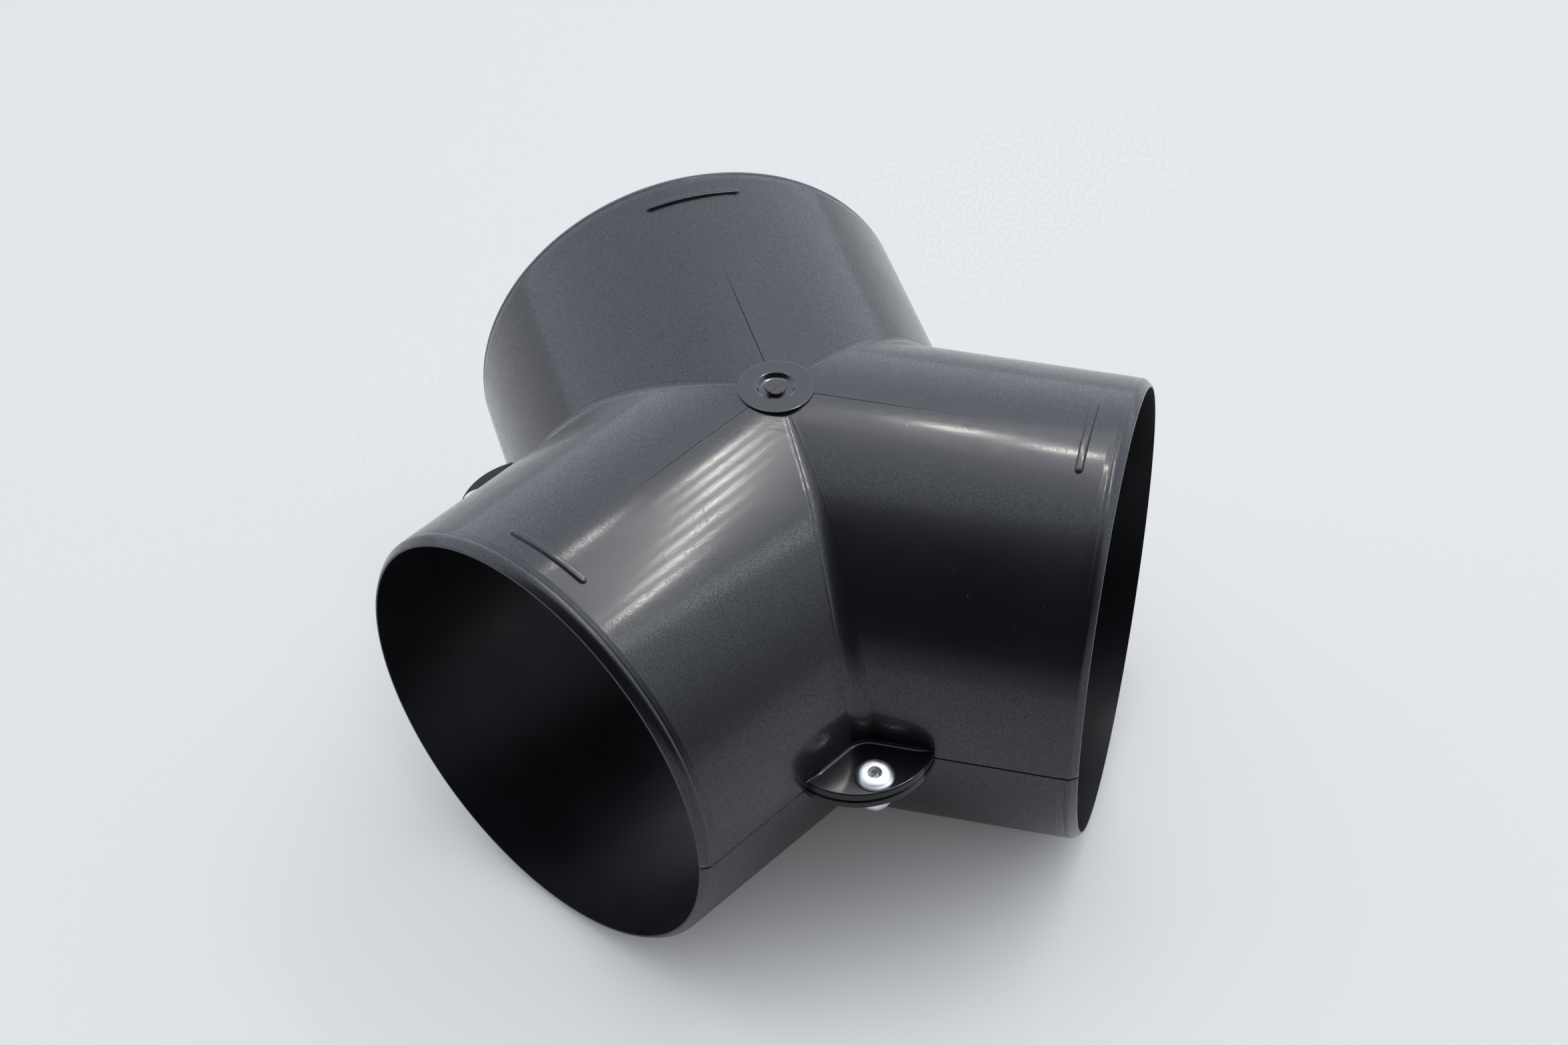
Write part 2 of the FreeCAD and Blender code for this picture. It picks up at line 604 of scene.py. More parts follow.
@dataclass
class HalfShell:
    """One moulding: three half branches with their lips, ribs, ears and the gate pad."""

    side: Side
    rule: BranchRule = field(default_factory=BranchRule)
    wall: float = 1.6
    rows: int = 121
    blend_steps: int = 8
    collar: Span = (6.3, 6.9)
    collar_step: float = 0.25
    ridge_width: float = 0.8
    ridge_height: float = 0.03
    ridge_shape: Table = ((0.0, 0.0), (0.2, 0.6), (0.35, 1.0), (0.5, 0.9), (0.75, 0.3), (1.0, 0.0))
    ridge_fades: Table = ((6.0, 10.0), (74.0, 50.0))
    tube_steps: int = 9
    tube_crowding: float = 1.6
    lip_length: float = 1.4
    lip_drop: float = 1.15
    land_start: float = 3.7
    land_drop: float = 0.03
    shoulder: float = 1.5
    shoulder_steps: int = 5
    bead_groove: float = 0.07
    groove_shape: Table = ((0.85, 0.0), (0.7, 0.3), (0.55, 1.0), (0.42, 1.0), (0.2, 0.35), (0.08, 0.05))
    parting_edge: float = 0.12
    ear_thickness: float = 1.8
    ear_radius: float = 15.1
    ear_edge: float = 65.6
    ear_round: float = 0.28
    ear_round_steps: int = 5
    ear_steps: int = 56
    ear_groove: Table = ((0.4, 0.015), (0.3, 0.1), (0.14, 0.2), (0.0, 0.3))
    root_fillet: float = 0.6
    fillet_steps: int = 6
    fillet_end: float = 0.08
    fillet_run: Span = (0.2, 3.5)
    root_steps: tuple[int, int] = (12, 16)
    rib_from_mouth: float = 8.0
    rib_height: float = 0.55
    rib_width: float = 1.7
    rib_crest: float = 1.1
    rib_edge: float = 0.28
    rib_half_angle: float = 12.4
    pad_radius: float = 7.2
    pad_height: float = 0.4
    dimple_radius: float = 3.8
    dimple_floor: float = 3.1
    dimple_depth: float = 0.7
    sprue_radius: float = 1.95
    sprue_below_pad: float = 0.12
    sprue_shares: tuple[float, ...] = (0.06, 0.2, 0.35, 0.5, 0.65, 0.8, 0.92, 1.0)
    pad_sides: int = 96
    pad_sink: float = 0.6
    pad_margin: float = 0.2
    tear_way: Span = (0.81, 0.59)
    tear_step: float = 0.15
    tear_pull: float = -0.16
    tear_mean: float = 0.06
    right_gap: float = 0.17
    gap_along: Span = (24.0, 44.0)
    gap_side: float = 5.0
    gap_height: float = 3.0
    sharp_angle: float = 38.0

    def lip_rings(self) -> list[Span]:
        """Lists the rings of the mouth.

        Returns:
            Distance from the middle and drop below the tube's radius of each ring.
        """
        reach = self.rule.reach
        land = reach - self.land_start
        edge = reach - self.lip_length
        slope = self.lip_drop / self.lip_length
        lean = math.atan(slope)
        before = edge - self.shoulder * math.tan(lean / 2)
        rings = [
            (land - 0.12, 0.0), (land, 0.0), (land + 0.1, 0.2 * self.land_drop), (land + 0.25, self.land_drop),
        ]
        for back, share in self.groove_shape:
            rings.append((before - back, self.land_drop + share * self.bead_groove))
        for k in range(self.shoulder_steps + 1):
            turn = lean * k / self.shoulder_steps
            drop = self.land_drop + self.shoulder * (1.0 - math.cos(turn))
            rings.append((before + self.shoulder * math.sin(turn), drop))
        return rings + [
            (reach - 0.12, self.lip_drop - 0.12 * slope), (reach - 0.03, self.lip_drop + 0.01),
            (reach, self.lip_drop + 0.08),
        ]

    def wall_at(self, turn: float, station: int) -> tuple[Vector, Vector, float]:
        """Gives the outer wall at one station of the branch.

        Args:
            turn: Angle from the top of the branch.
            station: Number of the station, from the crotch to the mouth.

        Returns:
            The point, the outward direction and the wall's thickness there.
        """
        if station < self.blend_steps:
            point, way = self.rule.on_blend(turn, station / self.blend_steps)
            return point, way, self.wall
        rings = self.lip_rings()
        start = self.rule.ball(turn).x
        step = station - self.blend_steps
        if step < len(self.ridge_shape):
            share, level = self.ridge_shape[step]
            shown = 1.0
            for low, high in self.ridge_fades:
                shown *= smooth_step(math.radians(low), math.radians(high), abs(turn))
            rise = level * self.ridge_height * shown
            point, way = self.rule.on_tube(turn, start + share * self.ridge_width)
            return point + rise * way, way, self.wall + rise
        step -= len(self.ridge_shape)
        start += self.ridge_width
        side = self.rule.radius * math.sin(turn)
        collar = []
        for n, radius in enumerate(self.collar):
            collar.append(max(start + self.collar_step * (n + 1), math.sqrt(max(0.0, radius ** 2 - side ** 2))))
        if step < len(collar):
            point, way = self.rule.on_tube(turn, collar[step])
            return point, way, self.wall
        step -= len(collar)
        start = collar[-1]
        if step < self.tube_steps:
            share = ((step + 1) / (self.tube_steps + 1)) ** self.tube_crowding
            point, way = self.rule.on_tube(turn, start + (rings[0][0] - start) * share)
            return point, way, self.wall
        along, drop = rings[step - self.tube_steps]
        point, way = self.rule.on_tube(turn, along)
        return point - drop * way, way, self.wall - drop

    def dipped(self, point: Vector) -> Vector:
        """Lowers the outer wall where the gate pad covers it, so that its dimple stays open."""
        covered = smooth_step(self.collar[0] - self.pad_margin, self.dimple_radius + self.pad_margin, point.xy.length)
        return point - Vector((0.0, 0.0, self.pad_sink * covered))

    def branch(self) -> Mesh:
        """Makes one half branch along X, open towards its neighbours.

        Returns:
            The mesh.
        """
        draft = Draft()
        edge_turn = QUARTER - self.parting_edge / self.rule.radius
        turns = [edge_turn * (2.0 * k / (self.rows - 1) - 1.0) for k in range(self.rows)]
        stations = self.blend_steps + len(self.ridge_shape) + len(self.collar)
        stations += self.tube_steps + len(self.lip_rings())
        previous: list[int] = []
        for station in range(stations):
            outer, inner = [], []
            for turn in turns:
                point, way, thick = self.wall_at(turn, station)
                flat = (point.x, self.rule.radius * turn)
                outer.append(draft.point(self.dipped(point), flat, Sheen.SATIN))
                inner.append(draft.point(point - thick * way, flat, Sheen.DULL))
            corners = []
            for turn in (QUARTER, -QUARTER):
                point, way, thick = self.wall_at(turn, station)
                flat = (point.x, self.rule.radius * turn)
                edge = min(self.parting_edge, 0.4 * thick)
                corners.append(draft.point(point - edge * way, flat, Sheen.SATIN))
                corners.append(draft.point(point - thick * way, flat, Sheen.DULL))
            row = outer + corners[:2] + inner[::-1] + [corners[3], corners[2]]
            if previous:
                draft.bridge(previous, row)
            previous = row
        draft.bridge([corners[2]] + outer + [corners[0]], [corners[3]] + inner + [corners[1]], closed=False)
        return draft.mesh("branch")

    def root_path(self, depth: float) -> list[tuple[Vector, Vector]]:
        """Follows the wall on the parting plane through a crotch that points along X.

        Args:
            depth: Distance of the path under the outer wall.

        Returns:
            Points and outward directions, from one branch to the other.
        """
        to_ear = Vector((math.cos(HALF_BETWEEN), math.sin(HALF_BETWEEN)))
        ear_middle = (self.ear_edge - self.ear_radius) * to_ear
        tip = ear_middle.x + math.sqrt(self.ear_radius ** 2 - (self.rule.radius - depth - ear_middle.y) ** 2)
        start = self.rule.ball(QUARTER).x
        bend, run = self.root_steps
        wall = [self.rule.on_blend(QUARTER, k / bend) for k in range(bend)]
        wall += [self.rule.on_tube(QUARTER, start + (tip - start) * k / run) for k in range(run + 1)]
        spin = Matrix.Rotation(-HALF_BETWEEN, 3, "Z")
        near = [(spin @ (point - depth * way), spin @ way) for point, way in wall]
        flip = Matrix.Diagonal((1.0, -1.0, 1.0))
        far = [(flip @ point, flip @ way) for point, way in reversed(near[1:])]
        return far + near

    def ear(self) -> Mesh:
        """Makes one ear plate with rounded edges, rooted in the wall.

        Returns:
            The mesh, in the crotch that points along X.
        """
        draft = Draft()
        middle = Vector((self.ear_edge - self.ear_radius, 0.0, 0.0))
        root = [point for point, _ in self.root_path(0.5 * self.wall)]
        end = math.atan2(root[0].y, root[0].x - middle.x)
        arc = []
        for k in range(self.ear_steps + 1):
            turn = -end + 2.0 * end * k / self.ear_steps
            arc.append(Vector((math.cos(turn), math.sin(turn), 0.0)))
        layers = [*self.ear_groove, (0.0, self.ear_thickness - self.ear_round)]
        for k in range(1, self.ear_round_steps + 1):
            turn = math.radians(90.0 / self.ear_round_steps * k)
            height = self.ear_thickness - self.ear_round * (1 - math.sin(turn))
            layers.append((self.ear_round * (1 - math.cos(turn)), height))
        layers.append((self.ear_round + 0.12, self.ear_thickness))
        rows = []
        for inset, height in layers:
            rim = [middle + (self.ear_radius - inset) * way for way in arc[1:-1]]
            rows.append([draft.point((p.x, p.y, height), None, Sheen.PLATE) for p in rim + root])
        draft.enclose(rows, flipped=True)
        return draft.mesh("ear")

    def ear_root(self) -> Mesh:
        """Makes the small fillet between an ear and the wall.

        Returns:
            The mesh, in the crotch that points along X.
        """
        draft = Draft()
        path = self.root_path(0.0)
        tip = path[0][0]
        rows = []
        for point, way in path:
            reach = min((point - tip).length, (point - path[-1][0]).length)
            size = self.root_fillet * max(self.fillet_end, smooth_step(*self.fillet_run, reach))
            top = self.ear_thickness
            section = [(-0.6, top - 0.4), (-0.14, top + size + 0.05)]
            for k in range(self.fillet_steps + 1):
                turn = math.radians(180.0 + 90.0 / self.fillet_steps * k)
                out = size * (1.0 + math.cos(turn)) - 0.06 * (1.0 - k / self.fillet_steps)
                section.append((out, top + size * (1.0 + math.sin(turn))))
            section += [(size + 0.04, top - 0.03), (size, top - 0.4)]
            places = [point + out * way + Vector((0.0, 0.0, height)) for out, height in section]
            rows.append([draft.point(place, None, Sheen.PLATE) for place in places])
        draft.enclose(rows)
        return draft.mesh("ear_root")

    def rib(self, finish: Material) -> Mesh:
        """Makes the raised rib of one branch.

        Args:
            finish: Material of the rib.

        Returns:
            The mesh, on the branch along X.
        """
        values = {
            "Path Radius": self.rule.radius * MM, "Half Angle": math.radians(self.rib_half_angle),
            "From Middle": (self.rule.reach - self.rib_from_mouth) * MM, "Width": 1.3 * self.rib_width * MM,
            "Crest": self.rib_crest * MM, "Height": 2.0 * (self.rib_height - 0.01) * MM,
            "Edge": self.rib_edge * MM, "Finish": finish,
        }
        return grow(bpy.data.meshes.new("rib"), RibBar().tree(), values)

    def gate_pad(self) -> Mesh:
        """Makes the flat pad over the gate, with its dimple and the torn end of the sprue.

        Returns:
            The mesh.
        """
        draft = Draft()
        top = self.rule.radius + self.pad_height
        floor = top - self.dimple_depth
        stub = top - self.sprue_below_pad
        profile = [(self.sprue_radius * share, stub) for share in self.sprue_shares]
        profile += [
            (self.sprue_radius + 0.02, stub - 0.1), (self.sprue_radius + 0.03, floor + 0.08),
            (self.sprue_radius + 0.12, floor), (self.dimple_floor - 0.12, floor),
            (self.dimple_floor, floor + 0.03), (self.dimple_floor + 0.09, floor + 0.1),
            (self.dimple_radius - 0.12, top - 0.13), (self.dimple_radius - 0.02, top - 0.03),
            (self.dimple_radius + 0.12, top), (self.dimple_radius + 0.2, top), (self.pad_radius - 0.24, top),
            (self.pad_radius - 0.16, top), (self.pad_radius - 0.07, top - 0.02),
            (self.pad_radius - 0.02, top - 0.06), (self.pad_radius, top - 0.14),
            (self.pad_radius, self.rule.radius - 1.1),
        ]
        rings = draft.turned(profile, self.pad_sides, 0.0)
        for ring in rings[:len(self.sprue_shares)]:
            for number in ring:
                x, y, _ = draft.points[number]
                draft.points[number].z += self.torn(x, y)
                draft.sheen[number] = Sheen.TORN.value
        return draft.mesh("gate_pad")

    def torn(self, x: float, y: float) -> float:
        """Gives the height of the torn sprue end above its mean.

        Args:
            x: Place along X.
            y: Place along Y.

        Returns:
            The height.
        """
        cosine, sine = self.tear_way
        across = cosine * y - sine * x
        along = cosine * x + sine * y
        step = self.tear_step * smooth_step(-0.12, 0.1, across + 0.25 + 0.12 * math.sin(1.7 * along))
        ripple = 0.006 * math.sin(5.2 * along + 1.3 * across) + 0.005 * math.sin(9.0 * across - 2.1 * along)
        pull = self.tear_pull * smooth_step(0.5, 1.6, -across) * smooth_step(-0.2, -1.3, along)
        return step + ripple + pull - self.tear_mean

    def opened(self, mesh: Mesh) -> None:
        """Lifts the parting edge of the right branch a little, where the halves don't quite close.

        Args:
            mesh: Mesh of the upper half.
        """
        right = FIRST_BRANCH + 2 * math.tau / BRANCHES
        along = Vector((math.cos(right), math.sin(right)))
        for vertex in mesh.vertices:
            height = vertex.co.z / MM
            if height < self.gap_height:
                out = vertex.co.xy.dot(along) / MM
                across = along.x * vertex.co.y / MM - along.y * vertex.co.x / MM
                front = smooth_step(self.gap_side, -self.gap_side, across)
                lift = self.right_gap * smooth_step(*self.gap_along, out) * front
                vertex.co.z += lift * (1.0 - height / self.gap_height) * MM

    def build(self, finish: Material) -> Mesh:
        """Makes the whole moulding, in its place.

        Args:
            finish: Material of the moulding.

        Returns:
            The mesh.
        """
        ears = join_meshes("ear_plate", [self.ear(), self.ear_root()])
        ears.transform(Matrix.Rotation(HALF_BETWEEN, 4, "Z"))
        unit = join_meshes("branch_unit", [self.branch(), ears, self.rib(finish)])
        ring = RoundPattern().repeat(unit, finish)
        whole = join_meshes(f"{self.side.value}_half", [ring, self.gate_pad()])
        self.opened(whole)
        if self.side is Side.LOWER:
            whole.transform(Matrix.Rotation(math.pi, 4, "Y"))
        return whole

    def dress(self, finish: Material) -> Object:
        """Builds the moulding and puts it in place of its CAD node.

        Args:
            finish: Material of the moulding.

        Returns:
            The piece.
        """
        mesh = self.build(finish)
        finish_mesh(mesh, finish, self.sharp_angle)
        name = self.side.value
        return place_piece(f"{name}_half_shell", mesh, Slot.SHELL, f"{name}_shell")


@dataclass
class BlindRivets:
    """The set rivets in the ears, each a body and the stub of its mandrel."""

    from_middle: float = 61.4
    seat: float = 1.8
    head_radius: float = 3.8
    head_height: float = 1.15
    head_lean: float = 0.09
    hole_radius: float = 1.2
    shank_radius: float = 2.0
    blind_radius: float = 3.33
    blind_length: float = 3.4
    mandrel_radius: float = 1.15
    mandrel_below_head: float = 0.7
    tip_radius: float = 1.8
    tip_height: float = 1.2
    dome_steps: int = 12
    dome_drop: float = 0.82
    dome_power: float = 3.2
    body_sides: int = 72
    stub_sides: int = 48
    broken_rings: int = 5
    broken_slope: float = 0.16
    broken_ripple: float = 0.05
    sharp_angle: float = 42.0

    def body_profile(self) -> list[Span]:
        """Lists the rings of a rivet body.

        Returns:
            Radius and height of each ring, from the hole in the head to the blind end.
        """
        crown = self.seat + self.head_height
        foot = -self.seat
        tail = foot - self.blind_length
        dome = [(self.hole_radius, crown - self.mandrel_below_head - 0.3), (self.hole_radius, crown - 0.25)]
        dome += [(self.hole_radius + 0.02, crown - 0.12), (self.hole_radius + 0.08, crown - 0.04)]
        dome += [(self.hole_radius + 0.17, crown - 0.005), (self.hole_radius + 0.28, crown)]
        start = self.hole_radius + 0.4
        for k in range(self.dome_steps + 1):
            share = k / self.dome_steps
            height = crown - 0.005 - self.dome_drop * share ** self.dome_power
            dome.append((start + (self.head_radius - 0.06 - start) * share, height))
        dome += [(self.head_radius, self.seat + 0.16), (self.head_radius - 0.02, self.seat + 0.05)]
        dome += [(self.head_radius - 0.1, self.seat), (self.shank_radius, self.seat), (self.shank_radius, foot)]
        bulb = [(2.8, foot), (3.0, foot - 0.12), (3.2, foot - 0.5), (self.blind_radius, foot - 1.2)]
        bulb += [(self.blind_radius, foot - 1.7), (3.2, foot - 2.3), (2.9, foot - 2.85), (2.5, foot - 3.2)]
        return dome + bulb + [(2.2, tail + 0.04), (1.9, tail), (1.25, tail)]

    def mandrel_profile(self) -> list[Span]:
        """Lists the rings of a mandrel stub.

        Returns:
            Radius and height of each ring, from the broken end to the tip.
        """
        top = self.seat + self.head_height - self.mandrel_below_head
        tail = -self.seat - self.blind_length
        low = tail - self.tip_height
        broken = [(0.1, top - 0.05), (0.4, top), (0.75, top - 0.04), (0.98, top - 0.12), (1.1, top - 0.26)]
        tip = [(self.mandrel_radius, top - 0.42), (self.mandrel_radius, tail), (self.tip_radius - 0.12, tail)]
        tip += [(self.tip_radius, tail - 0.12), (self.tip_radius, tail - 0.7), (self.tip_radius - 0.14, low + 0.2)]
        return broken + tip + [(self.tip_radius - 0.4, low + 0.05), (1.0, low), (0.2, low)]

    def dress(self, aluminium: Material, steel: Material) -> list[Object]:
        """Builds the rivets and their mandrels and puts them in place of their CAD nodes.

        Args:
            aluminium: Material of the bodies.
            steel: Material of the mandrels.

        Returns:
            The two pieces.
        """
        pattern = RoundPattern(first_angle=FIRST_BRANCH + HALF_BETWEEN, weld=0.0)
        body = Draft()
        body.turned(self.body_profile(), self.body_sides, self.from_middle)
        for point in body.points:
            raised = smooth_step(self.seat + 0.2, self.seat + self.head_height - 0.2, point.z)
            point.z -= self.head_lean * raised * (point.x - self.from_middle)
        stub = Draft()
        rings = stub.turned(self.mandrel_profile(), self.stub_sides, self.from_middle)
        for ring in rings[:self.broken_rings]:
            for number in ring:
                x, y, _ = stub.points[number]
                ripple = self.broken_ripple * math.sin(4.0 * x + 3.0 * y)
                stub.points[number].z += self.broken_slope * (x - self.from_middle) + ripple
        bodies = pattern.repeat(body.mesh("rivet_body"), aluminium)
        finish_mesh(bodies, aluminium, self.sharp_angle)
        stubs = pattern.repeat(stub.mesh("mandrel_stub"), steel)
        finish_mesh(stubs, steel, self.sharp_angle)
        return [
            place_piece("rivet_bodies", bodies, Slot.RIVET, "rivet_body"),
            place_piece("rivet_mandrels", stubs, Slot.MANDREL, "rivet_mandrel"),
        ]


class DustSpecks(NodeGroup):
    """Nodes that scatter small specks."""

    name = "dust_specks"
    inputs = {"Place": "Vector", "Per Metre": "Float", "Size": "Float", "Share": "Float"}
    output = ("Mask", "Float")
    size_range = (0.8, 0.3)
    soft_edge = (0.0, 0.5)

    def draw(self, bench: NodeBench, given: bpy_prop_collection) -> NodeSocket:
        """Adds the nodes that keep a share of the cells and put a speck in each.

        Args:
            bench: Bench of the group's tree.
            given: The group's inputs by name.

        Returns:
            The mask of the specks.
        """
        cells = bench.add("ShaderNodeTexVoronoi", {"Vector": given["Place"], "Scale": given["Per Metre"]})
        chance = bench.add("ShaderNodeSeparateColor", {"Color": cells.outputs["Color"]}).outputs
        kept = bench.math("LESS_THAN", chance[0], given["Share"])
        size = bench.math("MULTIPLY", given["Size"], bench.math("MULTIPLY_ADD", chance[1], *self.size_range))
        near = bench.math("SUBTRACT", 1.0, bench.math("DIVIDE", cells.outputs["Distance"], size))
        return bench.math("MULTIPLY", bench.spread(near, self.soft_edge, RISE), kept)


class FineScuffs(NodeGroup):
    """Nodes that draw thin stray scratches."""

    name = "fine_scuffs"
    inputs = {"Place": "Vector", "Per Metre": "Float", "Width": "Float", "Share": "Float"}
    output = ("Mask", "Float")
    turns = ((0.4, 0.2, 0.7), (1.1, 0.9, 2.0), (2.2, 0.3, 1.2))
    patches_per_line = 2.7

    def draw(self, bench: NodeBench, given: bpy_prop_collection) -> NodeSocket:
        """Adds the nodes that follow the middle level of a noise, broken up by patches, in three directions.

        Args:
            bench: Bench of the group's tree.
            given: The group's inputs by name.

        Returns:
            The mask of the scratches.
        """
        masks = []
        for turn in self.turns:
            turned = bench.add("ShaderNodeMapping", {"Vector": given["Place"], "Rotation": Euler(turn)}).outputs[0]
            level = bench.add("ShaderNodeTexNoise", {
                "Vector": turned, "Scale": given["Per Metre"], "Detail": 1.0,
            }).outputs[0]
            line = bench.math("ABSOLUTE", bench.math("SUBTRACT", level, 0.5))
            thin = bench.spread(bench.math("DIVIDE", line, given["Width"]), (0.0, 1.0), FALL)
            patches = bench.math("MULTIPLY", given["Per Metre"], self.patches_per_line)
            patch = bench.add("ShaderNodeTexNoise", {"Vector": turned, "Scale": patches, "Detail": 0.0}).outputs[0]
            masks.append(bench.math("MULTIPLY", thin, bench.math("LESS_THAN", patch, given["Share"])))
        return bench.math("MAXIMUM", masks[0], bench.math("MAXIMUM", masks[1], masks[2]))


class SoftMottle(NodeGroup):
    """Nodes that vary a value in soft patches with a finer grain on them."""

    name = "soft_mottle"
    inputs = {"Place": "Vector", "Per Metre": "Float", "Low": "Float", "High": "Float"}
    output = ("Value", "Float")
    span = (0.32, 0.68)

    def draw(self, bench: NodeBench, given: bpy_prop_collection) -> NodeSocket:
        """Adds the nodes that spread a noise between two values.

        Args:
            bench: Bench of the group's tree.
            given: The group's inputs by name.

        Returns:
            The varied value.
        """
        level = bench.add("ShaderNodeTexNoise", {
            "Vector": given["Place"], "Scale": given["Per Metre"], "Detail": 6.0, "Roughness": 0.65,
        }).outputs[0]
        return bench.spread(level, self.span, (given["Low"], given["High"]))


class Finish:
    """What every finish shares: a material, its nodes and the shared groups."""

    def __init__(self, name: str) -> None:
        """Starts an empty material and its Object coordinates.

        Args:
            name: Name of the material.
        """
        self.material = bpy.data.materials.new(name)
        self.bench = NodeBench.cleared(self.material)
        self.place = self.bench.add("ShaderNodeTexCoord").outputs["Object"]

    def shared(self, group: NodeGroup, *values: float) -> NodeSocket:
        """Places a shared group on Object coordinates.

        Args:
            group: Group to place.
            *values: Values of its inputs after the place, in their order.

        Returns:
            The group's output.
        """
        node = self.bench.add("ShaderNodeGroup", node_tree=group.tree())
        self.material.node_tree.links.new(self.place, node.inputs["Place"])
        for socket, value in zip(node.inputs[1:], values):
            socket.default_value = value
        return node.outputs[0]

    def bump(self, height: NodeSocket) -> NodeSocket:
        """Turns a height in millimetres into a normal."""
        return self.bench.add("ShaderNodeBump", {"Strength": 1.0, "Distance": MM, "Height": height}).outputs[0]

    def close(self, inputs: dict[str, object]) -> Material:
        """Adds the shader and the output.

        Args:
            inputs: Inputs of the shader.

        Returns:
            The material.
        """
        shader = self.bench.add("ShaderNodeBsdfPrincipled", inputs)
        self.bench.add("ShaderNodeOutputMaterial", {"Surface": shader.outputs[0]})
        return self.material


@dataclass(frozen=True)
class ShellPlastic:
    """Black moulded plastic with a satin gloss, polish lines, mould witness lines and a little dust.

    Spans of sheen say where a surface counts as satin, skinned or torn. Lengths on the surface map are in metres, and
    heights are in millimetres.
    """

    colour: Triple = (0.0062, 0.006, 0.0085)
    dust_colour: Triple = (0.16, 0.155, 0.15)
    refraction: float = 1.44
    skin_gloss: float = 0.13
    skin_share: Span = (0.2, 1.0)
    torn_share: float = 0.4
    dust: Triple = (330.0, 0.06, 0.1)  # per metre, size, share
    scuffs: Triple = (26.0, 0.004, 0.36)  # per metre, width, share
    patches: Triple = (60.0, 0.88, 1.12)  # per metre, low, high
    satin_off: Span = (0.0, 0.06)
    skinned_from: Span = (0.11, 0.13)
    skinned_to: Span = (0.35, 0.4)
    torn_from: Span = (0.46, 0.52)
    grain_per_metre: float = 5200.0
    grain_span: Span = (0.38, 0.58)
    lines_per_metre: Triple = (2600.0, 24.0, 1.0)
    chart_start: Span = (0.002, 0.004)
    witness_end: Span = (0.02, 0.045)
    witness_width: Span = (0.00004, 0.0002)
    grain_height: float = 0.001
    lines_height: float = 0.0015
    witness_height: float = 0.012
    scuff_height: float = -0.003
    dust_height: float = 0.03
    scuff_rough: float = 0.12
    dust_rough: float = 0.4
    witness_rough: float = 0.5
    witness_skin: float = -0.9

    def material(self) -> Material:
        """Builds the material.

        Returns:
            The material.
        """
        kit = Finish("black_satin_plastic")
        bench = kit.bench
        chart = bench.add("ShaderNodeUVMap", uv_map=SURFACE_MAP).outputs[0]
        along, around = bench.add("ShaderNodeSeparateXYZ", {"Vector": chart}).outputs[:2]
        sheen = bench.add("ShaderNodeAttribute", attribute_name=SHEEN).outputs["Fac"]
        off = bench.math("ABSOLUTE", bench.math("SUBTRACT", sheen, Sheen.SATIN.value))
        satin = bench.spread(off, self.satin_off, FALL)
        skinned = bench.spread(sheen, self.skinned_from, RISE)
        skinned = bench.math("MULTIPLY", skinned, bench.spread(sheen, self.skinned_to, FALL))
        torn = bench.spread(sheen, self.torn_from, (0.0, self.torn_share))
        dust = kit.shared(DustSpecks(), *self.dust)
        scuff = bench.math("MULTIPLY", kit.shared(FineScuffs(), *self.scuffs), satin)
        grain = bench.add("ShaderNodeTexNoise", {
            "Vector": kit.place, "Scale": self.grain_per_metre, "Detail": 1.0, "Roughness": 0.5,
        }).outputs[0]
        stretched = bench.add("ShaderNodeMapping", {"Vector": chart, "Scale": self.lines_per_metre}).outputs[0]
        lines = bench.add("ShaderNodeTexNoise", {"Vector": stretched, "Scale": 1.0, "Detail": 2.0}).outputs[0]
        charted = bench.spread(along, self.chart_start, RISE)
        fade = bench.math("MULTIPLY", bench.spread(along, self.witness_end, FALL), charted)
        line = bench.spread(bench.math("ABSOLUTE", around), self.witness_width, FALL)
        witness = bench.math("MULTIPLY", bench.math("MULTIPLY", line, fade), satin)
        height = bench.math("MULTIPLY", bench.math("MULTIPLY", grain, self.grain_height), satin)
        height = bench.math("MULTIPLY_ADD", bench.math("MULTIPLY", lines, self.lines_height), satin, height)
        height = bench.math("MULTIPLY_ADD", witness, self.witness_height, height)
        height = bench.math("MULTIPLY_ADD", scuff, self.scuff_height, height)
        bump = kit.bump(bench.math("MULTIPLY_ADD", dust, self.dust_height, height))
        rough = bench.math("MULTIPLY", sheen, kit.shared(SoftMottle(), *self.patches))
        rough = bench.math("MULTIPLY_ADD", scuff, self.scuff_rough, rough)
        rough = bench.math("MULTIPLY_ADD", dust, self.dust_rough, rough)
        rough = bench.math("MULTIPLY_ADD", witness, self.witness_rough, rough)
        even = bench.math("SUBTRACT", 1.0, satin)
        skin = bench.math("MAXIMUM", bench.spread(grain, self.grain_span, self.skin_share), even)
        skin = bench.math("MULTIPLY", skin, skinned)
        skin = bench.math("MULTIPLY", skin, bench.math("MULTIPLY_ADD", witness, self.witness_skin, 1.0))
        return kit.close({
            "Base Color": bench.blend(bench.math("MAXIMUM", dust, torn), self.colour, self.dust_colour),
            "Roughness": rough, "IOR": self.refraction, "Normal": bump,
            "Coat Weight": skin, "Coat Roughness": self.skin_gloss, "Coat Normal": bump,
        })


